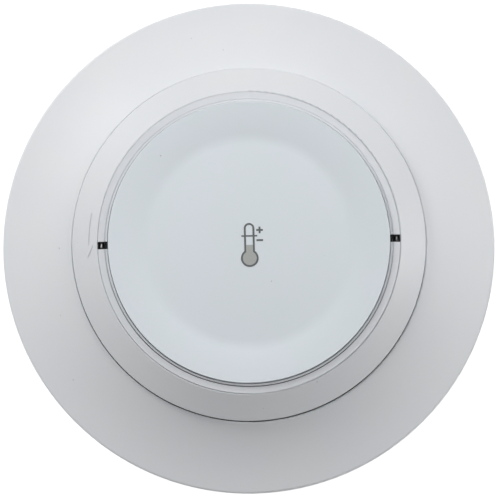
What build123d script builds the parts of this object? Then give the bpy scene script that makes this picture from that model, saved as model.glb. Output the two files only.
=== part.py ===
from build123d import *
import os
from math import asin, cos, degrees, radians, sin

# Battery-powered wireless heat detector, face up: a flanged mounting base and a round head that
# twist-locks into it. The middle of the face is a shallow domed test button inside a light ring.
# Millimetres. Z = 0 is the mounting surface, the origin is its centre, and +Z points out of the face.

os.makedirs("parts", exist_ok=True)

# ---- Driving dimensions ----
rim_r = 71.0  # outer radius of the base flange
rim_z = 21.4  # height of the flange's outer edge
rim_slope = 12.0  # rise of the flange's front at its outer edge, degrees
seam_slope = 30.0  # rise of the flange's front beside the head, degrees
foot_r = 69.6  # outer radius of the flange at the wall
foot_z = 0.4  # gap between the flange's foot and the wall
shell = 2.0  # wall of the flange
ring_bore_r = 50.25  # inner radius of the flange, around the head
head_r = 49.95  # outer radius of the head
head_seam_z = 31.3  # outer edge of the head's face, which stands proud of the flange
lip_r = 42.2  # inner radius of the front bezel
lip_z = 36.6  # inner edge of the bezel's face
plate_r = 66.0  # mounting plate radius
plate_t = 2.5  # mounting plate thickness
floor_z = 5.4  # underside of the head
floor_t = 1.6  # thickness of the head's floor
housing_r = 46.4  # outer radius of the rear housing's wall
board_z = 27.6  # underside of the circuit board
board_t = 1.6
board_r = 41.6
frame_z = 30.2  # underside of the inner frame
frame_t = 1.4
button_r = 39.3
button_z = 38.5  # crown of the button's face
button_under_z = 32.9
catch_low = 32.5  # underside of the rim that keeps the button in
catch_top = 33.2
crown_r = 320.0  # radius of the button's gently domed middle
valley_r = 27.8  # where the dome meets the shallow groove around it
rise_slope = 9.0  # rise of the button's outer zone at the groove, degrees
edge_slope = 2.0  # and at its edge
cell_r = 8.5  # battery radius
cell_length = 34.5  # battery length over its terminal
cell_x = 28.0  # battery axis, each side of the middle
cell_z = 16.6  # battery axis height
lock_angles = (30, 150, 270)  # bayonet hooks and lugs
lock_turn = 20.0  # turn that frees the head, degrees
ring_screw_angles = (90, 210, 330)
ring_screw_circle = 60.0
case_screw_angles = (60, 120, 240, 300)
case_screw_circle = 43.6
case_screw_end = 22.0
case_pilot_end = 24.0
board_screw_circle = 37.0
guide_angles = (90, 210, 330)  # the button's guide posts
guide_circle = 33.0
light_angles = [15 + 30 * step for step in range(12)]
light_circle = 40.8
tamper_circle = 30.0
tamper_angle = 110.0
tamper_drop = 1.2  # how far the tamper plunger comes out over the full turn
running_fit = 0.1  # radial clearance of plungers and guide posts
pilot_r = 1.05  # screw pilot hole in plastic
screw_r = 1.0  # thread of the head's screws
screw_hole_r = 1.2  # clearance hole for that thread

standing = (Align.CENTER, Align.CENTER, Align.MIN)  # placed by the middle of the underside

board_top = board_z + board_t
frame_top = frame_z + frame_t
floor_top = floor_z + floor_t

flare_r = (rim_r - ring_bore_r) / (sin(radians(seam_slope)) - sin(radians(rim_slope)))


def flare(r, depth=0.0):
    """Point (r, z) on the flange's concave front, or that far below it."""
    centre_r = rim_r + flare_r * sin(radians(rim_slope))
    centre_z = rim_z + flare_r * cos(radians(rim_slope))
    arc_r = flare_r + depth
    return (r, centre_z - arc_r * cos(asin((centre_r - r) / arc_r)))


def polar(r, angle):
    """Point (x, y) at a radius and an angle in degrees."""
    return (r * cos(radians(angle)), r * sin(radians(angle)))


def end_plane(x, y, z, facing):
    """Upright plane across the cells' axis, facing +Y or -Y, with its own Y axis up."""
    return Plane(origin=(x, y, z), x_dir=(-facing, 0, 0), z_dir=(0, facing, 0))


def sector(z, r_in, r_out, start, span):
    """Sketch of a piece of ring at height z, from a start angle over a span."""
    with BuildSketch(Plane.XY.offset(z)) as piece:
        with BuildLine():
            outer = CenterArc((0, 0), r_out, start, span)
            inner = CenterArc((0, 0), r_in, start, span)
            Line(outer @ 0, inner @ 0)
            Line(outer @ 1, inner @ 1)
        make_face()
    return piece.sketch


def post(r, z_low, z_high, mode=Mode.ADD):
    """Round post, or with Mode.SUBTRACT a round hole, between two heights."""
    with Locations((0, 0, z_low)):
        Cylinder(r, z_high - z_low, align=standing, mode=mode)


# ======================= BASE =======================

hook_arm_in = 49.0
hook_arm_out = 51.0
hook_lip_in = 46.6
hook_lip_z = 8.3
hook_top = 10.3
hook_half = 9.0
stop_start = -10.5
stop_end = -8.4
plate_edge_w = 1.6  # upstanding edge of the plate
plate_edge_h = 3.5
rib_circle = 58.5
rib_length = 12.2
rib_w = 1.5
rib_h = 2.5
wall_screw_y = 30.0
wall_screw_r = 2.1
box_slot_x = 43.0
box_slot_length = 10.4
rib_count = 12
ring_hole_r = 1.6  # plate hole of a ring screw, and its countersink
ring_sink_r = 3.0
ring_sink_h = 1.4
ramp_in = 27.3
ramp_width = 5.4
ramp_mid_z = 3.4
ramp_half = 7.0
ramp_angle = tamper_angle + lock_turn / 2
ramp_grade = tamper_drop / (2 * tamper_circle * sin(radians(lock_turn / 2)))
ramp_plane = Plane(
    origin=(*polar(ramp_in, ramp_angle), 0),
    x_dir=(-sin(radians(ramp_angle)), cos(radians(ramp_angle)), 0),
    z_dir=(*polar(1, ramp_angle), 0),
)

# Mounting plate: disc with a stiffening edge and ribs, bayonet hooks, wall screw holes, and the
# ramp that the tamper plunger rides on
with BuildPart() as mounting_plate:
    with BuildSketch():
        Circle(plate_r)
    extrude(amount=plate_t)
    with BuildSketch(Plane.XY.offset(plate_t)):
        Circle(plate_r)
        Circle(plate_r - plate_edge_w, mode=Mode.SUBTRACT)
    extrude(amount=plate_edge_h)
    with BuildSketch(Plane.XY.offset(plate_t)):
        with PolarLocations(rib_circle, rib_count, start_angle=15):
            Rectangle(rib_length, rib_w)
    extrude(amount=rib_h)
    for angle in lock_angles:
        extrude(sector(plate_t, hook_arm_in, hook_arm_out, angle + stop_start, hook_half - stop_start),
                amount=hook_top - plate_t)
        extrude(sector(hook_lip_z, hook_lip_in, hook_arm_out, angle + stop_start, hook_half - stop_start),
                amount=hook_top - hook_lip_z)
        extrude(sector(plate_t, hook_lip_in, hook_arm_out, angle + stop_start, stop_end - stop_start),
                amount=hook_top - plate_t)
    with BuildSketch(ramp_plane):
        with BuildLine():
            Polyline(
                (-ramp_half, plate_t - 0.5),
                (ramp_half, plate_t - 0.5),
                (ramp_half, ramp_mid_z - ramp_half * ramp_grade),
                (-ramp_half, ramp_mid_z + ramp_half * ramp_grade),
                close=True,
            )
        make_face()
    extrude(amount=ramp_width)
    with BuildSketch():
        with Locations((box_slot_x, 0), (-box_slot_x, 0)):
            SlotOverall(box_slot_length, 2 * wall_screw_r)
        with Locations((0, wall_screw_y), (0, -wall_screw_y)):
            Circle(wall_screw_r)
    extrude(amount=plate_t, mode=Mode.SUBTRACT)
    for angle in ring_screw_angles:
        with Locations((*polar(ring_screw_circle, angle), 0)):
            post(ring_hole_r, 0, plate_t, Mode.SUBTRACT)
            Cone(ring_sink_r, ring_hole_r, ring_sink_h, align=standing, mode=Mode.SUBTRACT)
mounting_plate.part.label = "mounting_plate"
export_step(mounting_plate.part, "parts/mounting_plate.step")

# Trim ring: the wide flange around the head, a shell with a deep inner skirt and three screw bosses
skirt_bottom = 13.0
skirt_out = ring_bore_r + 1.6
inner_rim_r = rim_r - shell - 0.1
boss_r = 3.5
ring_thread_r = 1.2
ring_pilot_r = 1.25
ring_pilot_top = 12.0
with BuildPart() as trim_ring:
    for angle in ring_screw_angles:
        with Locations(polar(ring_screw_circle, angle)):
            post(boss_r, plate_t, head_seam_z)
    with BuildSketch(Plane.XZ):
        with BuildLine():
            low = Line(flare(inner_rim_r, 1.0), (inner_rim_r, head_seam_z + 1))
            Polyline(low @ 1, (ring_bore_r, head_seam_z + 1), flare(ring_bore_r, 1.0))
            ThreePointArc(flare(ring_bore_r, 1.0), flare(ring_screw_circle, 1.0), low @ 0)
        make_face()
    revolve(axis=Axis.Z, mode=Mode.SUBTRACT)
    with BuildSketch(Plane.XZ) as flange_profile:
        with BuildLine():
            front = ThreePointArc(flare(rim_r), flare(ring_screw_circle), flare(ring_bore_r))
            inside = ThreePointArc(
                flare(skirt_out, shell),
                flare(ring_screw_circle, shell),
                flare(inner_rim_r, shell),
            )
            Polyline(front @ 1, (ring_bore_r, skirt_bottom), (skirt_out, skirt_bottom), inside @ 0)
            Polyline(inside @ 1, (foot_r - shell, foot_z), (foot_r, foot_z), front @ 0)
        make_face()
        fillet(flange_profile.vertices().sort_by(Axis.X)[-1], radius=0.8)
        fillet(flange_profile.vertices().sort_by(Axis.Y)[-1], radius=0.3)
    revolve(axis=Axis.Z)
    for angle in ring_screw_angles:
        with Locations(polar(ring_screw_circle, angle)):
            post(ring_pilot_r, plate_t, ring_pilot_top, Mode.SUBTRACT)
trim_ring.part.label = "trim_ring"
export_step(trim_ring.part, "parts/trim_ring.step")

# Three countersunk screws that hold the trim ring to the plate, from behind
ring_head_r = 2.75
ring_head_z = 0.15
ring_head_h = 1.35
cross_length = 3.2
cross_w = 0.6
cross_h = 1.4
with BuildPart() as ring_screws:
    for angle in ring_screw_angles:
        with Locations(polar(ring_screw_circle, angle)):
            with Locations((0, 0, ring_head_z)):
                Cone(ring_head_r, ring_thread_r, ring_head_h, align=standing)
                Box(cross_length, cross_w, cross_h, mode=Mode.SUBTRACT)
                Box(cross_w, cross_length, cross_h, mode=Mode.SUBTRACT)
            post(ring_thread_r, ring_head_h - 0.05, ring_pilot_top - 1.0)
ring_screws.part.label = "ring_screws"
export_step(ring_screws.part, "parts/ring_screws.step")

# ======================= HEAD =======================

# Rear housing: shallow cup with bayonet lugs, screw posts, battery openings and sound slots
flange_low = 10.8
flange_top = 12.3
spigot_top = 15.0
post_r = 2.7
spigot_out = head_r - 2.15
spigot_in = 45.7
housing_wall = 1.6
well_half_x = 8.75
well_half_y = 19.6
lug_low = 6.0
lug_t = 2.0
lug_r = 48.6
lug_half = 8
screw_well_r = 2.4
screw_well_top = 12.5
tamper_rod_r = 1.5
tamper_point = polar(tamper_circle, tamper_angle)
with BuildPart() as rear_housing:
    with BuildSketch(Plane.XZ):
        with BuildLine():
            Polyline(
                (0, floor_z),
                (housing_r, floor_z),
                (housing_r, flange_low),
                (head_r, flange_low),
                (head_r, flange_top),
                (spigot_out, flange_top),
                (spigot_out, spigot_top),
                (spigot_in, spigot_top),
                (spigot_in, flange_top),
                (housing_r - housing_wall, flange_top),
                (housing_r - housing_wall, floor_top),
                (0, floor_top),
                close=True,
            )
        make_face()
    revolve(axis=Axis.Z)
    for angle in lock_angles:
        extrude(sector(lug_low, housing_r - 0.4, lug_r, angle - lug_half, 2 * lug_half), amount=lug_t)
    for angle in case_screw_angles:
        with Locations(polar(case_screw_circle, angle)):
            post(post_r, floor_z, spigot_top)
            post(screw_well_r, floor_z, screw_well_top, Mode.SUBTRACT)
            post(screw_hole_r, floor_z, spigot_top, Mode.SUBTRACT)
    with BuildSketch(Plane.XY.offset(floor_z)):
        with Locations((cell_x, 0), (-cell_x, 0)):
            Rectangle(2 * well_half_x, 2 * well_half_y)
        with PolarLocations(10, 8, start_angle=22.5):
            SlotOverall(7.0, 1.8)
        with Locations(tamper_point):
            Circle(tamper_rod_r + running_fit)
    extrude(amount=floor_t, mode=Mode.SUBTRACT)
rear_housing.part.label = "rear_housing"
export_step(rear_housing.part, "parts/rear_housing.step")

# Raised curved arrow on the bezel that shows which way the head unlocks
face_sag = 0.08
arrow_relief = 0.22
arrow_r = 45.4
arrow_half = 0.45
arrow_start = 168
arrow_neck = 179.8
arrow_tip = 184
barb_half = 1.7
with BuildPart() as unlock_arrow:
    with BuildSketch(Plane.XY.offset(head_seam_z)):
        add(sector(0, arrow_r - arrow_half, arrow_r + arrow_half, arrow_start, 12))
        with BuildLine():
            Polyline(
                polar(arrow_r - barb_half, arrow_neck),
                polar(arrow_r + barb_half, arrow_neck),
                polar(arrow_r, arrow_tip),
                close=True,
            )
        make_face()
    extrude(amount=lip_z - head_seam_z)
    with BuildSketch(Plane.XZ):
        with BuildLine():
            Polyline(
                (head_r, head_seam_z - 0.5),
                (head_r, head_seam_z + arrow_relief - face_sag),
                (lip_r, lip_z + arrow_relief - face_sag),
                (lip_r, lip_z - 0.5),
                close=True,
            )
        make_face()
    revolve(axis=Axis.Z, mode=Mode.INTERSECT)

# Front bezel: sloping face, outer skirt, and an inner collar around the light ring
skirt_in = head_r - 1.85
collar_out = lip_r + 1.4
collar_low = 30.4
collar_top = 33.2
skirt_top = 30.1
bezel_post_top = 32.9
with BuildPart() as front_bezel:
    with BuildSketch(Plane.XZ) as bezel_profile:
        with BuildLine():
            face = ThreePointArc(
                (head_r, head_seam_z),
                ((head_r + lip_r) / 2, (head_seam_z + lip_z) / 2 - face_sag),
                (lip_r, lip_z),
            )
            Polyline(
                face @ 1,
                (lip_r, collar_low),
                (collar_out, collar_low),
                (collar_out, collar_top),
                (skirt_in, skirt_top),
                (skirt_in, flange_top),
                (head_r, flange_top),
                face @ 0,
            )
        make_face()
        fillet(bezel_profile.vertices().sort_by(Axis.Y)[-1], radius=0.35)
        fillet(bezel_profile.vertices().group_by(Axis.X)[-1].sort_by(Axis.Y)[-1], radius=0.3)
    revolve(axis=Axis.Z)
    for angle in case_screw_angles:
        with Locations(polar(case_screw_circle, angle)):
            post(post_r, spigot_top, bezel_post_top)
    post(lip_r, spigot_top - 1, collar_top, Mode.SUBTRACT)
    for angle in case_screw_angles:
        with Locations(polar(case_screw_circle, angle)):
            post(pilot_r, spigot_top, case_pilot_end, Mode.SUBTRACT)
    add(unlock_arrow.part)
front_bezel.part.label = "front_bezel"
export_step(front_bezel.part, "parts/front_bezel.step")

# Battery carrier: two open wells, a collar for the sounder, and four posts for the board
well_wall = 1.0
well_end = 1.2
well_top = 20.0
carrier_r = 40.6
sounder_r = 17.3
board_post_r = 2.6
board_pilot_z = 18.0
with BuildPart() as battery_carrier:
    with BuildSketch(Plane.XY.offset(floor_top)):
        Circle(carrier_r)
    extrude(amount=1.0)
    for side in (-1, 1):
        with Locations((side * cell_x, 0, floor_top)):
            Box(
                2 * (well_half_x + well_wall),
                2 * (well_half_y + well_end),
                well_top - floor_top,
                align=standing,
            )
    post(sounder_r + 1.2, floor_top, 10.0)
    post(sounder_r + 0.2, floor_top, well_top, Mode.SUBTRACT)
    for side in (-1, 1):
        with Locations((side * cell_x, 0, floor_top)):
            Box(
                2 * well_half_x,
                2 * well_half_y,
                well_top - floor_top,
                align=standing,
                mode=Mode.SUBTRACT,
            )
    for angle in case_screw_angles:
        with Locations(polar(board_screw_circle, angle)):
            post(board_post_r, floor_top, board_z)
            post(pilot_r, board_pilot_z, board_z, Mode.SUBTRACT)
    with Locations(tamper_point):
        post(3.4, floor_top, floor_top + 1.0, Mode.SUBTRACT)
battery_carrier.part.label = "battery_carrier"
export_step(battery_carrier.part, "parts/battery_carrier.step")

# Two lithium cells lying side by side, facing opposite ways
terminal_length = 1.5
terminal_r = 3.2
for name, side in (("battery_left", -1), ("battery_right", 1)):
    can_end = end_plane(side * cell_x, side * cell_length / 2, cell_z, -side)
    with BuildPart() as battery:
        with BuildSketch(can_end):
            Circle(cell_r)
        extrude(amount=cell_length - terminal_length)
        fillet(battery.edges().filter_by(GeomType.CIRCLE), radius=0.6)
        with BuildSketch(can_end.offset(cell_length - terminal_length)):
            Circle(terminal_r)
        extrude(amount=terminal_length)
    battery.part.label = name
    export_step(battery.part, f"parts/{name}.step")

# Flat spring contacts at the cells' positive ends, with tabs up to the board
contact_gap = 0.05
tab_width = 7.0
tab_drop = 4.0
tab_t = 0.4
with BuildPart() as battery_contacts:
    for side in (-1, 1):
        face_y = -side * (cell_length / 2 + contact_gap)
        wall_y = -side * (well_half_y - 0.1)
        with BuildSketch(end_plane(side * cell_x, wall_y, 0, side)):
            with Locations((0, (cell_z - tab_drop + board_z) / 2)):
                Rectangle(tab_width, board_z - cell_z + tab_drop)
        extrude(amount=tab_t)
        with BuildSketch(end_plane(side * cell_x, wall_y, cell_z, side)):
            Circle(2.4)
        extrude(amount=abs(wall_y - face_y))
battery_contacts.part.label = "battery_contacts"
export_step(battery_contacts.part, "parts/battery_contacts.step")

# Coil contacts at the cells' negative ends
coil_wire = 0.3
coil_r = 3.2
with BuildPart() as battery_springs:
    for side in (-1, 1):
        face_y = side * (cell_length / 2 + contact_gap + coil_wire)
        wall_y = side * (well_half_y - 0.1)
        with BuildSketch(end_plane(side * cell_x, wall_y, 0, -side)):
            with Locations((0, (cell_z - tab_drop + board_z) / 2)):
                Rectangle(tab_width, board_z - cell_z + tab_drop)
        extrude(amount=tab_t)
        with BuildLine():
            coil = Helix(
                pitch=0.75,
                height=abs(wall_y - face_y) - tab_t,
                radius=coil_r,
                center=(side * cell_x, face_y, cell_z),
                direction=(0, side, 0),
            )
        with BuildSketch(Plane(origin=coil @ 0, z_dir=coil % 0)):
            Circle(coil_wire)
        sweep(path=coil)
battery_springs.part.label = "battery_springs"
export_step(battery_springs.part, "parts/battery_springs.step")

# Piezo sounder between the cells: cup, brass disc, ceramic layer and two contact pins
cup_low = 7.2
cup_top = 16.0
cup_bore_r = 14.2
disc_z = 9.6
disc_t = 0.3
disc_r = 15.7
ceramic_t = 0.25
ceramic_r = 11.5
contact_x = 6.0
contact_r = 0.5
with BuildPart() as sounder_cup:
    post(sounder_r, cup_low, cup_top)
    post(disc_r + 0.2, cup_low, disc_z + disc_t, Mode.SUBTRACT)
    post(cup_bore_r, cup_low, cup_top - 1.2, Mode.SUBTRACT)
    with Locations((-contact_x, 0), (contact_x, 0)):
        post(contact_r + 0.3, cup_low, cup_top, Mode.SUBTRACT)
sounder_cup.part.label = "sounder_cup"
export_step(sounder_cup.part, "parts/sounder_cup.step")

with BuildPart() as piezo_disc:
    post(disc_r, disc_z, disc_z + disc_t)
piezo_disc.part.label = "piezo_disc"
export_step(piezo_disc.part, "parts/piezo_disc.step")

with BuildPart() as piezo_ceramic:
    post(ceramic_r, disc_z + disc_t, disc_z + disc_t + ceramic_t)
piezo_ceramic.part.label = "piezo_ceramic"
export_step(piezo_ceramic.part, "parts/piezo_ceramic.step")

with BuildPart() as sounder_contacts:
    with Locations((-contact_x, 0), (contact_x, 0)):
        post(contact_r, disc_z + disc_t + ceramic_t, board_z)
sounder_contacts.part.label = "sounder_contacts"
export_step(sounder_contacts.part, "parts/sounder_contacts.step")

# Circuit board and what is soldered on it
with BuildPart() as circuit_board:
    post(board_r, board_z, board_top)
    for angle in case_screw_angles:
        with Locations(polar(board_screw_circle, angle)):
            post(1.3, board_z, board_top, Mode.SUBTRACT)
circuit_board.part.label = "circuit_board"
export_step(circuit_board.part, "parts/circuit_board.step")

controller_side = 7.0
pin_count = 8
with BuildPart() as microcontroller:
    with Locations((15, 7, board_top + 0.1)):
        Box(controller_side, controller_side, 0.8, align=standing)
    with Locations((15, 7, board_top)):
        with GridLocations(0, 0.8, 1, pin_count):
            Box(controller_side + 2.0, 0.35, 0.2, align=standing)
        with GridLocations(0.8, 0, pin_count, 1):
            Box(0.35, controller_side + 2.0, 0.2, align=standing)
microcontroller.part.label = "microcontroller"
export_step(microcontroller.part, "parts/microcontroller.step")

with BuildPart() as radio_module:
    with Locations((-17, 12, board_top)):
        Box(16.0, 12.0, 0.9, align=standing)
    fillet(radio_module.edges().filter_by(Axis.Z), radius=0.6)
radio_module.part.label = "radio_module"
export_step(radio_module.part, "parts/radio_module.step")

antenna_pitch = 2.4
antenna_turns = 6
antenna_x = -20.0
antenna_y = -22.0
with BuildPart() as antenna:
    with BuildSketch(Plane.XY.offset(board_top)):
        for turn in range(antenna_turns):
            x = antenna_x + turn * antenna_pitch
            with Locations((x, antenna_y)):
                Rectangle(0.6, 7.0)
            if turn < antenna_turns - 1:
                link_y = antenna_y + (3.2 if turn % 2 == 0 else -3.2)
                with Locations((x + antenna_pitch / 2, link_y)):
                    Rectangle(antenna_pitch + 0.6, 0.6)
    extrude(amount=0.2)
antenna.part.label = "antenna"
export_step(antenna.part, "parts/antenna.step")

with BuildPart() as crystal:
    with Locations((15, -4, board_top)):
        Box(5.0, 3.2, 0.8, align=standing)
    fillet(crystal.edges().filter_by(Axis.Z), radius=0.4)
crystal.part.label = "crystal"
export_step(crystal.part, "parts/crystal.step")

with BuildPart() as smd_components:
    with Locations((0, 0, board_top)):
        with Locations((12, -14), (3, -20)):
            with GridLocations(3.2, 2.4, 3, 3):
                Box(1.6, 0.8, 0.5, align=standing)
        with Locations((-4, 21), (27, 6)):
            with GridLocations(2.4, 3.4, 3, 3):
                Box(0.8, 1.6, 0.6, align=standing)
smd_components.part.label = "smd_components"
export_step(smd_components.part, "parts/smd_components.step")

with BuildPart() as status_leds:
    with PolarLocations(light_circle - 0.6, 12, start_angle=light_angles[0]):
        with Locations((0, 0, board_top)):
            Box(0.9, 1.6, 0.7, align=standing)
status_leds.part.label = "status_leds"
export_step(status_leds.part, "parts/status_leds.step")

with BuildPart() as capacitors:
    with Locations((8, 28), (8, -28)):
        post(3.15, board_z - 9.0, board_z)
    fillet(capacitors.edges().group_by(Axis.Z)[0], radius=0.4)
capacitors.part.label = "capacitors"
export_step(capacitors.part, "parts/capacitors.step")

with BuildPart() as inductor:
    with Locations((-2, -29)):
        post(3.6, board_z - 1.0, board_z)
        post(2.4, board_z - 4.6, board_z)
        post(3.6, board_z - 5.4, board_z - 4.4)
inductor.part.label = "inductor"
export_step(inductor.part, "parts/inductor.step")

with BuildPart() as programming_header:
    with Locations((-12, -29, board_z - 2.5)):
        Box(7.6, 5.0, 2.5, align=standing)
        with GridLocations(2.54, 2.54, 3, 2):
            Box(0.64, 0.64, 5.5, align=(Align.CENTER, Align.CENTER, Align.MAX))
programming_header.part.label = "programming_header"
export_step(programming_header.part, "parts/programming_header.step")

# Inner frame: holds the board down, carries the light ring, guides the button and seats its springs
guide_r = 1.45
cup_r = 4.9
pocket_r = 4.1
guide_boss_r = 2.5
guide_boss_top = 31.9
spring_seat = frame_z
screw_pad_r = 2.9
screw_head_r = 1.9
sight_r = 1.2  # hole over each lamp
middle_r = 9.0  # opening around the test switch
screw_seat = frame_top - 1.0
with BuildPart() as inner_frame:
    post(lip_r - 0.3, frame_z, frame_top)
    for angle in guide_angles:
        with Locations(polar(guide_circle, angle)):
            post(cup_r, board_top + 0.1, frame_top)
            post(pocket_r, spring_seat, frame_top, Mode.SUBTRACT)
            post(guide_boss_r, board_top + 0.1, guide_boss_top)
            post(guide_r + running_fit, board_top, guide_boss_top, Mode.SUBTRACT)
    for angle in case_screw_angles:
        with Locations(polar(board_screw_circle, angle)):
            post(screw_pad_r, board_top, frame_top)
            post(screw_head_r + 0.2, screw_seat, frame_top, Mode.SUBTRACT)
            post(screw_hole_r, board_top, frame_top, Mode.SUBTRACT)
    for angle in light_angles:
        with Locations(polar(light_circle - 0.4, angle)):
            post(sight_r, frame_z, frame_top, Mode.SUBTRACT)
    with Locations((lip_r - 1.3, 0), (1.3 - lip_r, 0)):
        post(0.9, frame_z, frame_top, Mode.SUBTRACT)
    post(middle_r, frame_z, frame_top, Mode.SUBTRACT)
inner_frame.part.label = "inner_frame"
export_step(inner_frame.part, "parts/inner_frame.step")

# Light ring: translucent ring with an inner lip that keeps the button in, a raised strip beside
# the button with a fine groove around it, and a notch at each side for a sensor window
ring_out = lip_r - 0.02
ring_in = button_r + 0.25
ring_body_in = 40.7
band_top = lip_z + 0.1  # inner edge of the ring's sloping band
strip_top = lip_z + 0.35  # thin strip beside the button
lip_under = catch_top + 0.3
groove_r = 40.22
groove_half = 0.1
groove_low = band_top - 0.2
ring_bevel = 0.06
notch_width = 2.1
guard_low = lip_z - 1.95
with BuildPart() as light_ring:
    with BuildSketch(Plane.XZ) as ring_profile:
        with BuildLine():
            Polyline(
                (ring_body_in, frame_top),
                (ring_out, frame_top),
                (ring_out, lip_z),
                (groove_r + groove_half + ring_bevel, band_top),
                (groove_r + groove_half, band_top - ring_bevel),
                (groove_r + groove_half, groove_low),
                (groove_r - groove_half, groove_low),
                (groove_r - groove_half, strip_top - ring_bevel),
                (groove_r - groove_half - ring_bevel, strip_top),
                (ring_in + ring_bevel, strip_top),
                (ring_in, strip_top - ring_bevel),
                (ring_in, lip_under),
                (ring_body_in, lip_under),
                close=True,
            )
        make_face()
    revolve(axis=Axis.Z)
    with Locations((lip_r, 0, guard_low - 0.05), (-lip_r, 0, guard_low - 0.05)):
        Box(8.0, notch_width, 5.0, align=standing, mode=Mode.SUBTRACT)
    with Locations((lip_r - 1.3, 0), (1.3 - lip_r, 0)):
        post(0.8, frame_top, guard_low, Mode.SUBTRACT)
light_ring.part.label = "light_ring"
export_step(light_ring.part, "parts/light_ring.step")

# Black sensor guards in the notches, and the thermistors inside them
guard_length = ring_out - ring_in
guard_width = 1.9
guard_top = lip_z - 0.05
bar_pitch = 0.62
bar_t = 0.22
guard_mid = (ring_out + ring_in) / 2
bead_r = 0.26
bead_length = 1.1
bead_z = guard_top - 0.75
lead_r = 0.12
lead_y = 0.35
for name, side in (("left", -1), ("right", 1)):
    with BuildPart() as sensor_guard:
        with Locations((side * guard_mid, 0, guard_low)):
            Box(guard_length, guard_width, guard_top - guard_low, align=standing)
            Box(guard_length - 0.5, guard_width - 0.5, 2.0, align=standing, mode=Mode.SUBTRACT)
        with Locations((side * (guard_mid - 0.25), 0, guard_top - 0.5)):
            with GridLocations(bar_pitch, 0, 2, 1):
                Box(bar_t, guard_width, 0.4, align=standing)
    sensor_guard.part.label = f"sensor_guard_{name}"
    export_step(sensor_guard.part, f"parts/sensor_guard_{name}.step")

    with BuildPart() as thermistor:
        bead_x = side * (lip_r - 1.0)
        with BuildSketch(Plane(origin=(bead_x, -bead_length / 2, bead_z), z_dir=(0, 1, 0))):
            Circle(bead_r)
        extrude(amount=bead_length)
        with Locations((bead_x, -lead_y), (bead_x, lead_y)):
            post(lead_r, board_top, bead_z)
    thermistor.part.label = f"thermistor_{name}"
    export_step(thermistor.part, f"parts/thermistor_{name}.step")

# Screws of the head: four through the rear housing, four through the inner frame and the board
case_head_r = 2.2
case_head_z = screw_well_top - 1.8
case_cross = 2.6
board_cross = 2.4
board_cross_w = 0.5
with BuildPart() as housing_screws:
    for angle in case_screw_angles:
        with Locations(polar(case_screw_circle, angle)):
            post(case_head_r, case_head_z, screw_well_top)
            post(screw_r, screw_well_top - 0.1, case_screw_end)
            with Locations((0, 0, case_head_z)):
                Box(case_cross, cross_w, 1.6, mode=Mode.SUBTRACT)
                Box(cross_w, case_cross, 1.6, mode=Mode.SUBTRACT)
housing_screws.part.label = "housing_screws"
export_step(housing_screws.part, "parts/housing_screws.step")

with BuildPart() as board_screws:
    for angle in case_screw_angles:
        with Locations(polar(board_screw_circle, angle)):
            post(screw_head_r, screw_seat, frame_top + 0.1)
            post(screw_r, board_pilot_z + 1.0, screw_seat + 0.1)
            with Locations((0, 0, frame_top + 0.1)):
                Box(board_cross, board_cross_w, 1.0, mode=Mode.SUBTRACT)
                Box(board_cross_w, board_cross, 1.0, mode=Mode.SUBTRACT)
board_screws.part.label = "board_screws"
export_step(board_screws.part, "parts/board_screws.step")

# ======================= TEST BUTTON =======================

crown_turn = degrees(asin(valley_r / crown_r))
groove_bend_r = 10.0
outer_bend_r = 73.0
edge_drop = 0.2
catch_r = button_r + 1.1
skirt_wall = 1.6
guide_low = 30.0
striker_r = 1.5
striker_low = 31.8
pad_r = 5.0  # the button's underside is hollow between its middle pad and its rim
hollow_r = 27.5
hollow_top = button_z - 3.4
with BuildPart() as test_button:
    with BuildSketch(Plane.XZ):
        with BuildLine():
            crown = JernArc((0, button_z), (1, 0), crown_r, -crown_turn)
            groove = JernArc(crown @ 1, crown % 1, groove_bend_r, crown_turn + rise_slope)
            outer = JernArc(groove @ 1, groove % 1, outer_bend_r, edge_slope - rise_slope)
            edge = TangentArc(outer @ 1, (button_r, (outer @ 1).Y - edge_drop), tangent=outer % 1)
            Polyline(
                edge @ 1,
                (button_r, catch_top),
                (catch_r, catch_top),
                (catch_r, catch_low),
                (button_r - skirt_wall, catch_low),
                (button_r - skirt_wall, button_under_z),
                (hollow_r, button_under_z),
                (hollow_r, hollow_top),
                (pad_r, hollow_top),
                (pad_r, button_under_z),
                (0, button_under_z),
                (0, button_z),
            )
        make_face()
    revolve(axis=Axis.Z)
    for angle in guide_angles:
        with Locations(polar(guide_circle, angle)):
            post(guide_r, guide_low, button_under_z + 0.5)
    post(striker_r, striker_low, button_under_z + 0.5)
test_button.part.label = "test_button"
export_step(test_button.part, "parts/test_button.step")

# Printed pictogram on the button: a thermometer's outline with a mark across it, a plus and a minus
ink = 0.05
stroke = 0.52
icon_x = 0.1
tube_half = 1.46
tube_end = 3.65  # centre of the tube's round top
bulb_y = -4.7
bulb_r = 2.45
column_top = -1.0
mark_y = 1.5  # mark across the tube
mark_length = 4.4
mark_w = 0.42
sign_x = 3.0
sign_length = 1.84
plus_y = 3.1
minus_y = 0.25
ink_low = button_z - 0.5
ink_high = 1.0


def thermometer(inset):
    """Sketch of the thermometer's shape, drawn in by an inset, just under the button's crown."""
    with BuildSketch(Plane.XY.offset(ink_low)) as shape:
        with Locations((icon_x, bulb_y)):
            Circle(bulb_r - inset)
        with Locations((icon_x, (tube_end + bulb_y) / 2)):
            Rectangle(2 * (tube_half - inset), tube_end - bulb_y)
        with Locations((icon_x, tube_end)):
            Circle(tube_half - inset)
    return shape.sketch


def trim_to_crown():
    """Cuts what was built down to an ink-thin layer that follows the button's crown."""
    with Locations((0, 0, button_z - crown_r)):
        Sphere(crown_r + ink, rotation=(90, 0, 0), mode=Mode.INTERSECT)
        Sphere(crown_r, rotation=(90, 0, 0), mode=Mode.SUBTRACT)


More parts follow.
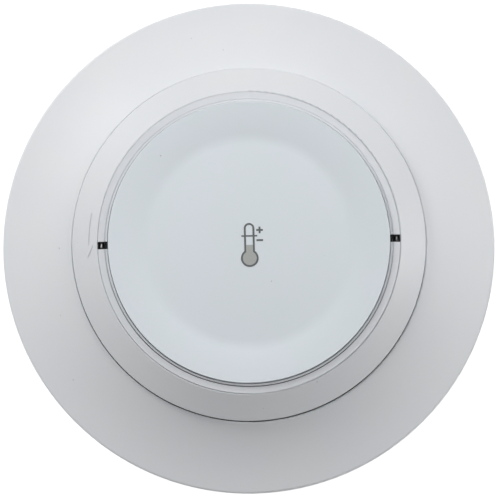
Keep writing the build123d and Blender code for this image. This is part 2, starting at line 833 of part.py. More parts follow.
with BuildPart() as button_icon:
    extrude(thermometer(0), amount=ink_high)
    extrude(thermometer(stroke), amount=ink_high, mode=Mode.SUBTRACT)
    with BuildSketch(Plane.XY.offset(ink_low)):
        with Locations((icon_x, mark_y)):
            Rectangle(mark_length, mark_w)
        with Locations((sign_x, plus_y)):
            Rectangle(sign_length, stroke)
            Rectangle(stroke, sign_length)
        with Locations((sign_x, minus_y)):
            Rectangle(sign_length, stroke)
    extrude(amount=ink_high)
    trim_to_crown()
button_icon.part.label = "button_icon"
export_step(button_icon.part, "parts/button_icon.step")

# The thermometer's printed filling: bulb and fluid column
with BuildPart() as icon_fill:
    extrude(thermometer(stroke), amount=ink_high)
    with Locations((icon_x, column_top, button_z)):
        Box(4 * tube_half, 20.0, 4.0, align=(Align.CENTER, Align.MIN, Align.CENTER), mode=Mode.SUBTRACT)
    trim_to_crown()
icon_fill.part.label = "icon_fill"
export_step(icon_fill.part, "parts/icon_fill.step")

# Three coil springs that return the button
button_wire = 0.24
button_coil_r = 3.35
end_gap = 0.02
button_coil_height = button_under_z - spring_seat - 2 * (button_wire + end_gap)
with BuildPart() as button_springs:
    for angle in guide_angles:
        with BuildLine(Plane((*polar(guide_circle, angle), spring_seat + button_wire + end_gap))):
            coil = Helix(pitch=0.85, height=button_coil_height, radius=button_coil_r)
        with BuildSketch(Plane(origin=coil @ 0, z_dir=coil % 0)):
            Circle(button_wire)
        sweep(path=coil)
button_springs.part.label = "button_springs"
export_step(button_springs.part, "parts/button_springs.step")

# Test switch under the middle of the button
switch_rod_r = 1.65
switch_side = 6.2
switch_h = 1.6
switch_top = board_top + switch_h
with BuildPart() as tact_switch_body:
    with Locations((0, 0, board_top)):
        Box(switch_side, switch_side, switch_h, align=standing)
    post(switch_rod_r + running_fit, board_top + 0.7, switch_top, Mode.SUBTRACT)
tact_switch_body.part.label = "tact_switch_body"
export_step(tact_switch_body.part, "parts/tact_switch_body.step")

with BuildPart() as switch_plunger:
    post(switch_rod_r, board_top + 1.3, striker_low - 0.1)
    fillet(switch_plunger.edges().group_by(Axis.Z)[-1], radius=0.3)
switch_plunger.part.label = "switch_plunger"
export_step(switch_plunger.part, "parts/switch_plunger.step")

# ======================= TAMPER SWITCH =======================

tamper_body_z = 19.7
tip_gap = 0.15
tip_z = ramp_mid_z + tamper_drop / 2 + tip_gap
collar_z = 12.0
collar_r = 2.6
with BuildPart() as tamper_switch_body:
    with Locations((*tamper_point, tamper_body_z)):
        Box(7.0, 7.0, board_z - tamper_body_z, align=standing)
    with Locations(tamper_point):
        post(tamper_rod_r + running_fit, tamper_body_z, tamper_body_z + 3.4, Mode.SUBTRACT)
tamper_switch_body.part.label = "tamper_switch_body"
export_step(tamper_switch_body.part, "parts/tamper_switch_body.step")

with BuildPart() as tamper_plunger:
    with Locations(tamper_point):
        post(tamper_rod_r, tip_z + tamper_rod_r, tamper_body_z + 3.0)
        post(collar_r, collar_z, collar_z + 1.0)
        with Locations((0, 0, tip_z + tamper_rod_r)):
            Sphere(tamper_rod_r)
tamper_plunger.part.label = "tamper_plunger"
export_step(tamper_plunger.part, "parts/tamper_plunger.step")

tamper_wire = 0.2
collar_top = collar_z + 1.0
tamper_coil_height = tamper_body_z - collar_top - 2 * (tamper_wire + end_gap)
with BuildPart() as tamper_spring:
    with BuildLine(Plane((*tamper_point, collar_top + tamper_wire + end_gap))):
        coil = Helix(pitch=1.2, height=tamper_coil_height, radius=2.1)
    with BuildSketch(Plane(origin=coil @ 0, z_dir=coil % 0)):
        Circle(tamper_wire)
    sweep(path=coil)
tamper_spring.part.label = "tamper_spring"
export_step(tamper_spring.part, "parts/tamper_spring.step")
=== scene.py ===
import math
import bmesh
import bpy
from mathutils import Matrix, Vector


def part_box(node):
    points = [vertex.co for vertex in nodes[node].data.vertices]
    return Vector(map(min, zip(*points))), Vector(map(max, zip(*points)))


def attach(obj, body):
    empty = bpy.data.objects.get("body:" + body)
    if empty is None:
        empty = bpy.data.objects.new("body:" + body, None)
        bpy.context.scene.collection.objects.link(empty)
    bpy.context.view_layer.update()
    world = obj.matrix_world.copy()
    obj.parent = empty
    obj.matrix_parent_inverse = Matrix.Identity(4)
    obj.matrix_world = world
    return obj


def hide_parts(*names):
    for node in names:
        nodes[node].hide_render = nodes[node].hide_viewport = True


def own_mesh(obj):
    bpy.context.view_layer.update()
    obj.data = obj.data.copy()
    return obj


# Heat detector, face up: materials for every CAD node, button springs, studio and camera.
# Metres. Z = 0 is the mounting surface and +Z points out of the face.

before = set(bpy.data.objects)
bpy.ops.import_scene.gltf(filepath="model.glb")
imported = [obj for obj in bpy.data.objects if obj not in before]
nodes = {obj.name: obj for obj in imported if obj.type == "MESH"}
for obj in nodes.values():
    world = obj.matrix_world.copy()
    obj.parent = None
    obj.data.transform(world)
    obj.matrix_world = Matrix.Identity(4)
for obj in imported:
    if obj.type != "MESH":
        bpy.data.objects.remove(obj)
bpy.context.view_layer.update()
scene = bpy.context.scene
MM = 0.001
MICRON = 0.001 * MM

# ---- Camera: almost square on to the face, from a little below its middle ----
CAMERA_DISTANCE = 0.470
CAMERA_TILT = math.radians(4.14)
CAMERA_SIDE = math.radians(-2.33)
CAMERA_ROLL = math.radians(1.45)
CAMERA_AIM = Vector((0.00025, -0.00146, 0.025))
CAMERA_LENS = 118.27  # focal length in millimetres
CAMERA_SENSOR = 36.0  # width in millimetres


def add_camera():
    data = bpy.data.cameras.new("camera")
    data.lens = CAMERA_LENS
    data.sensor_width = CAMERA_SENSOR
    data.clip_start = 10 * MM
    camera = bpy.data.objects.new("camera", data)
    scene.collection.objects.link(camera)
    away = Vector((
        math.sin(CAMERA_TILT) * math.sin(CAMERA_SIDE),
        -math.sin(CAMERA_TILT) * math.cos(CAMERA_SIDE),
        math.cos(CAMERA_TILT),
    ))
    right = (-away).cross(Vector((0, 1, 0))).normalized()
    up = right.cross(-away)
    turn = Matrix.Rotation(-CAMERA_ROLL, 3, away)
    right, up = turn @ right, turn @ up
    axes = Matrix((right, up, away)).transposed().to_4x4()
    camera.matrix_world = Matrix.Translation(CAMERA_AIM + away * CAMERA_DISTANCE) @ axes
    scene.camera = camera


# ---- Studio: soft lights around the object, strongest from the upper left and low on the right ----
LIGHT_AIM = Vector((0, 0, 0.03))
LIGHT_DISTANCE = 1.2
LIGHT_SIZE = 0.5
WORLD_GLOW = 0.01
# Name: (azimuth in degrees from +X, elevation in degrees, power in watts)
LIGHTS = {
    "right_low": (0, 15, 4.2),
    "upper_right": (45, 32, 1.0),
    "top": (90, 32, 1.6),
    "upper_left": (135, 32, 5.5),
    "right_high": (0, 52, 2.8),
    "top_high": (90, 52, 1.0),
    "left_high": (180, 52, 3.8),
}


def add_lights():
    for name, (azimuth, elevation, power) in LIGHTS.items():
        data = bpy.data.lights.new(name, "AREA")
        data.shape = "DISK"
        data.size = LIGHT_SIZE
        data.energy = power
        turn, rise = math.radians(azimuth), math.radians(elevation)
        away = Vector((math.cos(turn) * math.cos(rise), math.sin(turn) * math.cos(rise), math.sin(rise)))
        light = bpy.data.objects.new(name, data)
        light.location = LIGHT_AIM + away * LIGHT_DISTANCE
        light.rotation_euler = (-away).to_track_quat("-Z", "Y").to_euler()
        scene.collection.objects.link(light)


def add_world():
    world = bpy.data.worlds.new("studio")
    world.use_nodes = True
    background = world.node_tree.nodes["Background"]
    background.inputs["Color"].default_value = (1.0, 1.0, 1.0, 1.0)
    background.inputs["Strength"].default_value = WORLD_GLOW
    scene.world = world


add_camera()
add_lights()
add_world()
scene.view_settings.view_transform = "Standard"


# ---- Building materials ----
def shade(colour, factor):
    return tuple(min(1.0, channel * factor) for channel in colour)


class Surface:
    """A Principled material being built. Its textures follow the part's own metres."""

    def __init__(self, name, **values):
        self.material = bpy.data.materials.new(name)
        self.material.use_nodes = True
        self.tree = self.material.node_tree
        self.shader = self.tree.nodes["Principled BSDF"]
        self.place = self.add("TexCoord").outputs["Object"]
        for socket, value in values.items():
            self.feed(self.shader.inputs[socket.replace("_", " ")], value)

    def feed(self, socket, value):
        """Links another node's output to the socket, or sets it to a number, a vector or a colour."""
        if isinstance(value, bpy.types.NodeSocket):
            self.tree.links.new(value, socket)
        else:
            socket.default_value = (*value, 1) if socket.type == "RGBA" else value

    def add(self, kind, operation=None, **inputs):
        """A node. An input is named with _ for a space, or by its number: i0, i1 and so on."""
        made = self.tree.nodes.new("ShaderNode" + kind)
        if operation:
            made.operation = operation
        for name, value in inputs.items():
            numbered = name[0] == "i" and name[1:].isdigit()
            self.feed(made.inputs[int(name[1:]) if numbered else name.replace("_", " ")], value)
        return made

    # -- Patterns --
    def noise(self, size, detail=2.0, place=None, rough=0.5):
        """Noise from 0 to 1 whose features are about this size in metres."""
        place = place or self.place
        made = self.add("TexNoise", Vector=place, Scale=1 / size, Detail=detail, Roughness=rough)
        return made.outputs["Fac"]

    def streaks(self, counts, detail, rough=0.5):
        """Noise with this many features to the metre along X, Y and Z."""
        return self.noise(1.0, detail, self.stretch(counts), rough)

    def cells(self, size, place=None):
        """Distance inside cells of this size in metres, and a random colour for each cell."""
        made = self.add("TexVoronoi", Vector=place or self.place, Scale=1 / size)
        return made.outputs["Distance"], made.outputs["Color"]

    def channel(self, colour, name):
        """The Red, Green or Blue of a colour."""
        return self.add("SeparateColor", Color=colour).outputs[name]

    def axes(self):
        """The part's own X, Y and Z in metres."""
        return self.add("SeparateXYZ", Vector=self.place).outputs

    def stretch(self, scale):
        """The part's metres, scaled along each axis."""
        return self.add("Mapping", Vector=self.place, Scale=scale).outputs["Vector"]

    def radius(self):
        """Distance in metres from the part's upright axis."""
        x, y, _ = self.axes()
        return self.math("SQRT", self.math("ADD", self.times(x, x), self.times(y, y)))

    # -- Arithmetic --
    def math(self, operation, a, b=0.0):
        return self.add("Math", operation, i0=a, i1=b).outputs[0]

    def times(self, a, b):
        return self.math("MULTIPLY", a, b)

    def below(self, value, limit):
        """1 where the value is less than the limit, and 0 elsewhere."""
        return self.math("LESS_THAN", value, limit)

    def above(self, value, limit):
        """1 where the value is more than the limit, and 0 elsewhere."""
        return self.math("GREATER_THAN", value, limit)

    def apart(self, a, b):
        """How far one value is from another."""
        return self.math("ABSOLUTE", self.math("SUBTRACT", a, b))

    def steps(self, value, low, high, to_low=0.0, to_high=1.0):
        """The value's stretch from low to high, mapped on to a new one and clamped."""
        return self.add(
            "MapRange", Value=value, From_Min=low, From_Max=high, To_Min=to_low, To_Max=to_high,
        ).outputs["Result"]

    # -- Colour --
    def mix(self, factor, a, b):
        """Colour a where the factor is 0, b where it is 1."""
        return self.add("MixRGB", Fac=factor, Color1=a, Color2=b).outputs["Color"]

    def mottled(self, pattern, colour, low, high):
        """The colour, shaded by low where the pattern is 0 and by high where it is 1."""
        return self.mix(pattern, shade(colour, low), shade(colour, high))

    # -- What the shader is given --
    def colour(self, value):
        self.feed(self.shader.inputs["Base Color"], value)

    def rough(self, value, low, high):
        self.feed(self.shader.inputs["Roughness"], self.steps(value, 0.0, 1.0, low, high))

    def metal(self, value):
        self.feed(self.shader.inputs["Metallic"], value)

    def relief(self, *layers):
        """Bump from (height, depth in metres) layers, one over the other."""
        normal = None
        for height, depth in layers:
            bump = self.add("Bump", Height=height, Strength=1.0, Distance=depth)
            if normal:
                self.feed(bump.inputs["Normal"], normal)
            normal = bump.outputs["Normal"]
        self.feed(self.shader.inputs["Normal"], normal)


# ---- Colours, linear ----
WHITE = (0.806, 0.824, 0.857)
COOL = (0.803, 0.866, 0.896)
WARM = (1.003, 1.0, 0.984)  # tints of the paler patches in the white plastics
BLUISH = (1.0, 0.988, 1.014)
INNER = (0.72, 0.725, 0.72)
BLACK = (0.012, 0.012, 0.013)
CUP_BLACK = (0.035, 0.035, 0.038)
PLUNGER_BLACK = (0.03, 0.03, 0.032)
TAMPER_BLACK = (0.03, 0.03, 0.033)
BEAD = (0.93, 0.94, 0.94)
INK_DARK = (0.145, 0.155, 0.155)
INK_LIGHT = (0.45, 0.465, 0.445)
UNDER_INK = (0.6, 0.62, 0.62)  # shows through the ink's pinholes
STEEL = (0.62, 0.61, 0.58)
ZINC = (0.70, 0.71, 0.73)
ZINC_TARNISH = (0.62, 0.60, 0.50)
NICKEL = (0.70, 0.68, 0.62)
SHIELD = (0.68, 0.67, 0.62)
CRYSTAL_CAN = (0.72, 0.71, 0.68)
SWITCH_COVER = (0.66, 0.66, 0.64)
ALUMINIUM = (0.78, 0.78, 0.78)
COPPER = (0.80, 0.48, 0.30)
COPPER_TARNISH = (0.55, 0.33, 0.20)
BRASS = (0.83, 0.62, 0.30)
SILVERED = (0.80, 0.79, 0.76)
CONTACT_GOLD = (0.86, 0.66, 0.30)
PIN_GOLD = (0.86, 0.66, 0.28)
PAD_TIN = (0.74, 0.72, 0.66)
LEAD_TIN = (0.72, 0.72, 0.70)
BOARD_GREEN = (0.015, 0.13, 0.06)
CHIP_BLACK = (0.022, 0.022, 0.024)
HEADER_BLACK = (0.02, 0.02, 0.021)
CHIP_BODY = (0.30, 0.22, 0.14)
CHIP_FLECK = (0.66, 0.62, 0.55)
LAMP = (0.80, 0.62, 0.16)
LAMP_FLECK = (0.92, 0.84, 0.50)
FERRITE = (0.05, 0.05, 0.052)
ENAMEL = (0.72, 0.32, 0.12)
CAN_SLEEVE = (0.03, 0.035, 0.05)
CAN_STRIPE = (0.62, 0.64, 0.66)
SLEEVE = (0.10, 0.14, 0.20)
SLEEVE_BAND = (0.66, 0.68, 0.70)

# ---- Sizes inside the materials ----
DRAWN_GRAIN = 0.08 * MM  # width of a metal's streaks
TRACK_PITCH = 0.7 * MM
TRACK_SHARE = 0.42  # of the pitch that is copper
TRACK_BLOCK = 7 * MM  # size of the blocks that the tracks run around
PAD_RADIUS = 0.22  # of a pad, in cells
WIRE_PITCH = 0.32 * MM  # of the inductor's winding
DRUM_FLANGE = 1.0 * MM  # at each end of the winding
LEAD_HEIGHT = 0.2 * MM  # of the chip's leads
HEADER_PINS = 2.5 * MM  # how far the header's top is above its plated pins
CAN_RIM = 0.25 * MM  # of bare aluminium at a capacitor's end
STRIPE_OFFSET = 2.3 * MM  # of the polarity stripe from the middle
SLEEVE_HALF = 16 * MM  # half the length of a battery's shrink sleeve
BAND_MIDDLE = 6 * MM  # of the sleeve's colour band, along the battery
BAND_HALF = 4.5 * MM

# ---- Painted shade in the two round gaps of the face, darker towards the bottom ----
SEAM_GAP = 0.3 * MM  # between the disc's bezel and the flange
SEAM_CLEAR = 0.15 * MM  # the gap's upper end, which the painted shade leaves out
SEAM_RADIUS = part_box("front_bezel")[1][0] + SEAM_GAP / 2
SEAM_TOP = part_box("trim_ring")[1][2] - SEAM_CLEAR
GROOVE_GAP = 0.2 * MM  # in the light ring, around the button
GROOVE_INSET = 0.18 * MM  # from the button's widest radius to the groove's middle
GROOVE_CLEAR = 0.1 * MM
GROOVE_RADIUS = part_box("test_button")[1][0] - GROOVE_INSET
GROOVE_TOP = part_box("light_ring")[1][2] - GROOVE_CLEAR
# colour of the painted shade in the gaps
PAINTED_GAP_SHADE = (0.03, 0.03, 0.032)
GAP_SHADE_REACH = -30 * MM  # the painted shade is full this far below the middle, and absent above it
GAP_SHADE_FULL = 0.9  # share of the colour that the full painted shade hides
GAP_SHADE_SPREAD = 0.65  # of the gap's width, to each side of its middle


def painted_gap_shade(surface, tone, gap_radius, gap, top):
    """The colour, darkened by painted shade in a round gap: below its top, and most towards the bottom."""
    _, y, z = surface.axes()
    walls = surface.below(surface.apart(surface.radius(), gap_radius), GAP_SHADE_SPREAD * gap)
    deep = surface.below(z, top)
    shade_towards_bottom = surface.steps(y, 0.0, GAP_SHADE_REACH, 0.0, GAP_SHADE_FULL)
    return surface.mix(surface.times(surface.times(walls, deep), shade_towards_bottom), tone, PAINTED_GAP_SHADE)


# ---- Plastics and ink ----
SPARK = 0.16 * MM  # grain of a spark-eroded mould
FINE_SPARK = 0.8 * MICRON  # its depth on the face and on small parts
COARSE_SPARK = 1.6 * MICRON  # its depth on housings and frames
FLOW = 22 * MM  # slow drift of colour and height
FLOW_STRETCH = (0.35, 0.65)  # the part of that noise that the colour drifts over
FLOW_DEPTH = 6 * MICRON
SPECK = 3 * MM  # spacing of dust specks
SPECK_LEAST = 0.85  # a cell whose random value is under this has no speck
SPECK_WIDEST = 0.085  # radius of the largest speck, in cells
SPECK_TONE = 0.45  # of the plastic's brightness
SCUFFS = (900, 140, 400)  # how many to the metre along X, Y and Z
SCUFF_SHARE = 0.35  # of the gloss, the rest being mould grain
GLOSS_SPREAD = 0.12  # of the roughness, to each side
NO_TINT = (1.0, 1.0, 1.0)


def moulded(name, colour, roughness, spark=FINE_SPARK, drift=0.012, specks=0.4, seam_shade=False, tint=NO_TINT):
    """Injection-moulded plastic: spark grain, a slow drift of colour and height, scuffs and dust specks;
    with seam_shade, painted shade darkens the seam gap, most towards the bottom.
    """
    surface = Surface(name)
    grain = surface.noise(SPARK)
    flow = surface.noise(FLOW, 3.0)
    paler = tuple(channel * part for channel, part in zip(shade(colour, 1 + drift), tint))
    tone = surface.mix(surface.steps(flow, *FLOW_STRETCH), shade(colour, 1 - drift), paler)
    near, chance = surface.cells(SPECK)
    size = surface.steps(surface.channel(chance, "Red"), SPECK_LEAST, 1.0, 0.0, SPECK_WIDEST)
    dot = surface.times(surface.below(near, size), specks)
    tone = surface.mix(dot, tone, shade(colour, SPECK_TONE))
    # painted shade in the seam gap, darker towards the bottom
    surface.colour(painted_gap_shade(surface, tone, SEAM_RADIUS, SEAM_GAP, SEAM_TOP) if seam_shade else tone)
    scuff = surface.streaks(SCUFFS, 5.0, rough=0.65)
    gloss = surface.add("Mix", Factor=SCUFF_SHARE, i2=grain, i3=scuff).outputs[0]
    surface.rough(gloss, roughness - GLOSS_SPREAD, roughness + GLOSS_SPREAD)
    surface.relief((flow, FLOW_DEPTH), (grain, spark))
    return surface.material


def printed(name, colour):
    """Screen-printed ink: a soft mottle, and the printing mesh left as pinholes and a fine relief."""
    surface = Surface(name, Specular_IOR_Level=0.35)
    mottle = surface.noise(0.6 * MM, 4.0)
    mesh = surface.noise(0.05 * MM, 1.0)
    pinholes = surface.steps(mesh, 0.70, 0.78, 0.0, 0.35)
    surface.colour(surface.mix(pinholes, surface.mottled(mottle, colour, 0.93, 1.07), UNDER_INK))
    surface.rough(mottle, 0.55, 0.75)
    surface.relief((mesh, 2 * MICRON))
    return surface.material


def milky(name, colour):
    """Diffusing light guide: light spreads under a hazy tone and a finely grained skin, with painted shade
    darkening the groove around the button, most towards the bottom.
    """
    surface = Surface(name, Subsurface_Weight=0.25, Subsurface_Scale=1.2 * MM, IOR=1.49,
                      Subsurface_Radius=(1.0, 1.0, 1.0))
    haze = surface.noise(4 * MM, 3.0)
    grain = surface.noise(0.12 * MM)
    tone = surface.mottled(haze, colour, 0.97, 1.03)
    # painted shade in the groove around the button, darker towards the bottom
    surface.colour(painted_gap_shade(surface, tone, GROOVE_RADIUS, GROOVE_GAP, GROOVE_TOP))
    surface.rough(grain, 0.30, 0.46)
    surface.relief((grain, 0.7 * MICRON))
    return surface.material


def glass(name, colour):
    """Glass-sealed bead: a bright glassy skin over a milky body, with faint seeds."""
    surface = Surface(name, IOR=1.52, Coat_Weight=1.0, Coat_Roughness=0.04, Subsurface_Weight=0.2,
                      Subsurface_Scale=0.2 * MM, Subsurface_Radius=(1.0, 1.0, 1.0))
    seeds = surface.noise(0.12 * MM, 3.0)
    surface.colour(surface.mottled(seeds, colour, 0.9, 1.1))
    surface.rough(seeds, 0.08, 0.2)
    surface.relief((seeds, 2 * MICRON))
    return surface.material


# ---- Metals ----
def metal(name, colour, roughness, along, tarnish=None):
    """Bare or plated metal: streaks drawn out along the axes with the larger shares, and tarnish."""
    surface = Surface(name, Metallic=1.0)
    streak = surface.streaks(tuple(1 / (DRAWN_GRAIN * part) for part in along), 3.0)
    cloud = surface.noise(2.4 * MM, 4.0, rough=0.6)
    dull = tarnish or shade(colour, 0.72)
    surface.colour(surface.mix(surface.steps(cloud, 0.42, 0.72), colour, dull))
    surface.rough(streak, roughness - 0.1, roughness + 0.16)
    surface.relief((streak, 1.2 * MICRON))
    return surface.material


def ringed(name, colour, spacing, depth, metallic=1.0, roughness=0.3):
    """Round stamped or fired disc: faint turning rings around the Z axis over a cloudy tone."""
    surface = Surface(name, Metallic=metallic)
    rings = surface.math("SINE", surface.times(surface.radius(), 2 * math.pi / spacing))
    cloud = surface.noise(3 * MM, 4.0)
    surface.colour(surface.mottled(cloud, colour, 0.9, 1.05))
    surface.rough(cloud, roughness - 0.08, roughness + 0.12)
    surface.relief((rings, depth), (cloud, 0.8 * MICRON))
    return surface.material


# ---- Electronics ----
def solder_mask(name, green):
    """Circuit board: glass weave under a green mask, parallel copper tracks around blocks, tinned pads."""
    surface = Surface(name, Coat_Weight=0.5, Coat_Roughness=0.12)
    flat = surface.stretch((1.0, 1.0, 0.0))
    weave = surface.streaks((2600, 900, 900), 1.0)
    blocks = surface.add("TexVoronoi", Vector=flat, Scale=1 / TRACK_BLOCK, Randomness=0.8)
    blocks.distance = "CHEBYCHEV"
    across = surface.times(blocks.outputs["Distance"], TRACK_BLOCK / TRACK_PITCH)
    track = surface.below(surface.math("FRACT", across), TRACK_SHARE)
    routed = surface.steps(surface.channel(blocks.outputs["Color"], "Green"), 0.3, 0.32)
    track = surface.times(track, routed)
    base = surface.mottled(weave, green, 0.85, 1.1)
    masked = surface.mix(surface.times(track, 0.5), base, shade(green, 2.2))
    near, chance = surface.cells(2 * TRACK_PITCH, flat)
    pad = surface.below(near, surface.steps(surface.channel(chance, "Red"), 0.7, 0.72, 0.0, PAD_RADIUS))
    surface.colour(surface.mix(pad, masked, PAD_TIN))
    surface.metal(pad)
    surface.rough(weave, 0.28, 0.42)
    surface.relief((track, 20 * MICRON), (weave, 1.5 * MICRON), (pad, 10 * MICRON))
    return surface.material


def epoxy(name, colour, leads_below):
    """Black moulded epoxy with filler grain; below a height in metres it is a tinned lead."""
    surface = Surface(name)
    filler = surface.noise(0.09 * MM, 3.0)
    cloud = surface.noise(1.4 * MM)
    _, _, z = surface.axes()
    lead = surface.below(z, leads_below)
    surface.colour(surface.mix(lead, surface.mottled(cloud, colour, 0.7, 1.5), LEAD_TIN))
    surface.metal(lead)
    surface.rough(filler, 0.45, 0.7)
    surface.relief((filler, 3 * MICRON))
    return surface.material


def ceramic(name, colour, fleck):
    """Fired or filled body with small flecks, as on chip components and lamp lenses."""
    surface = Surface(name)
    near, _ = surface.cells(0.12 * MM)
    cloud = surface.noise(0.8 * MM, 3.0)
    flecks = surface.steps(near, 0.1, 0.35, 0.5, 0.0)
    surface.colour(surface.mix(flecks, surface.mottled(cloud, colour, 0.85, 1.12), fleck))
    surface.rough(cloud, 0.3, 0.5)
    surface.relief((near, 3 * MICRON))
    return surface.material


def wound(name, core, wire, low, high):
    """Ferrite drum with an enamelled copper winding between two heights in metres."""
    surface = Surface(name)
    _, _, z = surface.axes()
    winding = surface.times(surface.above(z, low), surface.below(z, high))
    turns = surface.math("SINE", surface.times(z, 2 * math.pi / WIRE_PITCH))
    grain = surface.noise(0.2 * MM, 3.0)
    copper = surface.mix(surface.steps(turns, -1.0, 0.4), shade(wire, 0.35), wire)
    surface.colour(surface.mix(winding, surface.mottled(grain, core, 0.8, 1.3), copper))
    surface.metal(surface.times(winding, 0.9))
    surface.rough(grain, 0.35, 0.6)
    surface.relief((surface.times(turns, winding), 25 * MICRON), (grain, 4 * MICRON))
    return surface.material


def cell_sleeve(name):
    """Battery: shrink sleeve with a plain colour band, open over the bare steel ends."""
    surface = Surface(name, Coat_Weight=0.3, Coat_Roughness=0.2)
    _, y, _ = surface.axes()
    wrinkle = surface.streaks((1500, 300, 1500), 4.0, rough=0.6)
    band = surface.below(surface.apart(y, BAND_MIDDLE), BAND_HALF)
    skin = surface.mix(band, surface.mottled(wrinkle, SLEEVE, 0.85, 1.15), SLEEVE_BAND)
    bare = surface.above(surface.math("ABSOLUTE", y), SLEEVE_HALF)
    surface.colour(surface.mix(bare, skin, STEEL))
    surface.metal(bare)
    surface.rough(wrinkle, 0.25, 0.45)
    surface.relief((wrinkle, 12 * MICRON))
    return surface.material


def sleeved_can(name, sleeve, stripe, centre_x, top_below):
    """Electrolytic capacitors: dark sleeves, a pale polarity stripe, and aluminium tops below a height."""
    surface = Surface(name, Coat_Weight=0.25)
    x, _, z = surface.axes()
    grain = surface.noise(0.3 * MM, 3.0)
    side = surface.above(surface.math("SUBTRACT", x, centre_x), STRIPE_OFFSET)
    top = surface.below(z, top_below)
    body = surface.mix(side, surface.mottled(grain, sleeve, 0.85, 1.2), stripe)
    surface.colour(surface.mix(top, body, ALUMINIUM))
    surface.metal(top)
    surface.rough(grain, 0.22, 0.42)
    surface.relief((grain, 3 * MICRON))
    return surface.material


def header(name, body, pin, pins_below):
    """Pin header: grained black plastic, and gold-plated pins below a height in metres."""
    surface = Surface(name)
    grain = surface.noise(0.1 * MM)
    _, _, z = surface.axes()
    plated = surface.below(z, pins_below)
    surface.colour(surface.mix(plated, surface.mottled(grain, body, 0.8, 1.3), pin))
    surface.metal(plated)
    surface.rough(grain, 0.25, 0.5)
    surface.relief((grain, 2 * MICRON))
    return surface.material


# ---- A material for every CAD node ----
drum_low, drum_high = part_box("inductor")
can_low, can_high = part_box("capacitors")
chip_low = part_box("microcontroller")[0]
header_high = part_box("programming_header")[1]

spring = metal("spring_steel", STEEL, 0.24, along=(1, 1, 6))
screw = metal("zinc_plate", ZINC, 0.26, along=(3, 3, 1), tarnish=ZINC_TARNISH)
black_plastic = moulded("sensor_black", BLACK, 0.42, specks=0.0)
housing_plastic = moulded("housing_white", shade(WHITE, 0.95), 0.5, COARSE_SPARK)
inner_plastic = moulded("inner_white", INNER, 0.52, COARSE_SPARK)
bead = glass("bead_glass", BEAD)

finishes = {
    # flange and bezel: painted shade in the seam between them
    "trim_ring": moulded("flange_white", WHITE, 0.48, drift=0.006, seam_shade=True, tint=WARM),
    # the bezel's white is the flange's, 4.5% darker as painted shade for a steeper face
    "front_bezel": moulded("bezel_white", shade(WHITE, 0.955), 0.44, drift=0.006, seam_shade=True, tint=WARM),
    "test_button": moulded("button_white", COOL, 0.40, 0.6 * MICRON, drift=0.004, specks=0.5, tint=BLUISH),
    "light_ring": milky("light_guide", shade(WHITE, 0.98)),
    "button_icon": printed("ink_dark", INK_DARK),
    "icon_fill": printed("ink_light", INK_LIGHT),
    "sensor_guard_left": black_plastic,
    "sensor_guard_right": black_plastic,
    "thermistor_left": bead,
    "thermistor_right": bead,
    "mounting_plate": housing_plastic,
    "rear_housing": housing_plastic,
    "battery_carrier": inner_plastic,
    "inner_frame": inner_plastic,
    "circuit_board": solder_mask("board_green", BOARD_GREEN),
    "microcontroller": epoxy("chip_black", CHIP_BLACK, chip_low[2] + LEAD_HEIGHT),
    "radio_module": metal("shield_metal", SHIELD, 0.30, along=(8, 1, 1)),
    "crystal": metal("crystal_can", CRYSTAL_CAN, 0.22, along=(1, 6, 1)),
    "antenna": metal("tinned_copper", COPPER, 0.3, along=(1, 5, 1), tarnish=COPPER_TARNISH),
    "smd_components": ceramic("chip_ceramic", CHIP_BODY, CHIP_FLECK),
    "status_leds": ceramic("lamp_yellow", LAMP, LAMP_FLECK),
    "capacitors": sleeved_can("capacitor_sleeve", CAN_SLEEVE, CAN_STRIPE,
                              (can_low[0] + can_high[0]) / 2, can_low[2] + CAN_RIM),
    "inductor": wound("inductor_drum", FERRITE, ENAMEL,
                      drum_low[2] + DRUM_FLANGE, drum_high[2] - DRUM_FLANGE),
    "programming_header": header("header_black", HEADER_BLACK, PIN_GOLD, header_high[2] - HEADER_PINS),
    "tact_switch_body": metal("switch_cover", SWITCH_COVER, 0.34, along=(6, 1, 1)),
    "switch_plunger": moulded("plunger_black", PLUNGER_BLACK, 0.5, specks=0.0),
    "tamper_switch_body": moulded("tamper_black", TAMPER_BLACK, 0.55, COARSE_SPARK, specks=0.0),
    "tamper_plunger": moulded("tamper_white", INNER, 0.5, specks=0.0),
    "tamper_spring": spring,
    "button_springs": spring,
    "battery_springs": spring,
    "battery_contacts": metal("contact_nickel", NICKEL, 0.22, along=(1, 1, 6)),
    "battery_left": cell_sleeve("cell_sleeve_left"),
    "battery_right": cell_sleeve("cell_sleeve_right"),
    "sounder_cup": moulded("cup_black", CUP_BLACK, 0.5, specks=0.0),
    "piezo_disc": ringed("disc_brass", BRASS, 0.5 * MM, 1.5 * MICRON),
    "piezo_ceramic": ringed("silvered_ceramic", SILVERED, 0.3 * MM, MICRON, metallic=0.6, roughness=0.45),
    "sounder_contacts": metal("contact_gold", CONTACT_GOLD, 0.25, along=(1, 1, 5)),
    "ring_screws": screw,
    "housing_screws": screw,
    "board_screws": screw,
}

for node, piece in nodes.items():
    for slot in piece.material_slots:
        slot.material = finishes[node]

# ---- Button springs: coils with flattened ends ----
COIL_TURNS = 3.0
COIL_CLOSED = 0.25  # turns that lie flat at each end
COIL_WIRE = 0.24 * MM  # radius of the wire
COIL_STEPS = 40  # per turn
COIL_BEVEL = 3  # how finely the wire is rounded
COIL_WELD = MICRON  # joins the end caps to the wire
SPRING_ANGLES = (90, 210, 330)


def coil(data, x, y, radius, low, high):
    """One spring as an open spline in the curve: a flat stretch at each end, an even pitch between them."""
    count = round(COIL_TURNS * COIL_STEPS) + 1
    spline = data.splines.new("POLY")
    spline.points.add(count - 1)
    for number, point in enumerate(spline.points):
        turns = number / COIL_STEPS
        share = (turns - COIL_CLOSED) / (COIL_TURNS - 2 * COIL_CLOSED)
        share = min(max(share, 0.0), 1.0)
        angle = 2 * math.pi * turns
        height = low + (high - low) * share
        point.co = (x + radius * math.cos(angle), y + radius * math.sin(angle), height, 1)


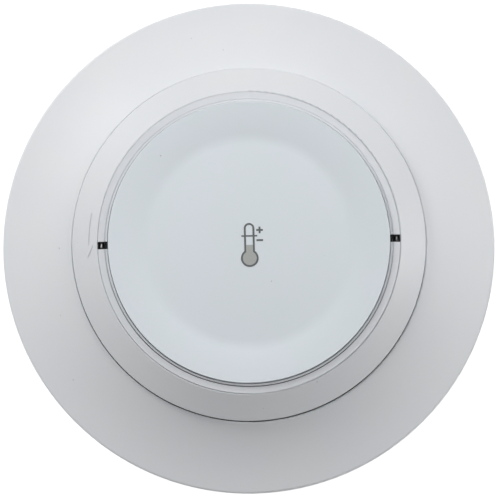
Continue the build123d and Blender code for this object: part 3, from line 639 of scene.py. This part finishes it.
def coils(circle, radius, low, high):
    """The mesh of all the springs, their axes on a circle, with wire ends that are closed and flat."""
    data = bpy.data.curves.new("button_coils", "CURVE")
    data.dimensions = "3D"
    data.bevel_depth = COIL_WIRE
    data.bevel_resolution = COIL_BEVEL
    data.use_fill_caps = True
    for angle in SPRING_ANGLES:
        turn = math.radians(angle)
        coil(data, circle * math.cos(turn), circle * math.sin(turn), radius, low, high)
    source = bpy.data.objects.new("button_coils_path", data)
    mesh = bpy.data.meshes.new_from_object(source)
    bpy.data.objects.remove(source)
    welded = bmesh.new()
    welded.from_mesh(mesh)
    bmesh.ops.remove_doubles(welded, verts=welded.verts, dist=COIL_WELD)
    for face in welded.faces:
        face.smooth = len(face.verts) == 4
    welded.to_mesh(mesh)
    welded.free()
    mesh.materials.clear()
    mesh.materials.append(spring)
    return mesh


def add_button_springs():
    low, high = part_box("button_springs")
    circle = 2 * (high[1] + low[1])  # one axis is this far up in Y, the other two half as far down
    radius = high[1] - circle - COIL_WIRE
    mesh = coils(circle, radius, low[2] + COIL_WIRE, high[2] - COIL_WIRE)
    piece = bpy.data.objects.new("button_coils", mesh)
    scene.collection.objects.link(piece)
    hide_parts("button_springs")
    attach(piece, "head")
    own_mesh(piece)


add_button_springs()

# ---- Floor: a white light table ----
FLOOR_HALF = 3.0  # from the middle to each edge
FLOOR_DROP = 0.5 * MM
FLOOR_TONE = 0.16
FLOOR_GLOW = 0.98


def add_floor():
    mesh = bpy.data.meshes.new("floor")
    corners = [(x * FLOOR_HALF, y * FLOOR_HALF, 0) for x, y in ((-1, -1), (1, -1), (1, 1), (-1, 1))]
    mesh.from_pydata(corners, [], [(0, 1, 2, 3)])
    floor = bpy.data.objects.new("floor", mesh)
    floor.location.z = -FLOOR_DROP
    scene.collection.objects.link(floor)
    table = Surface("floor_white", Base_Color=(FLOOR_TONE, FLOOR_TONE, FLOOR_TONE), Roughness=0.8,
                    Emission_Color=(1, 1, 1), Emission_Strength=FLOOR_GLOW)
    mesh.materials.append(table.material)


add_floor()
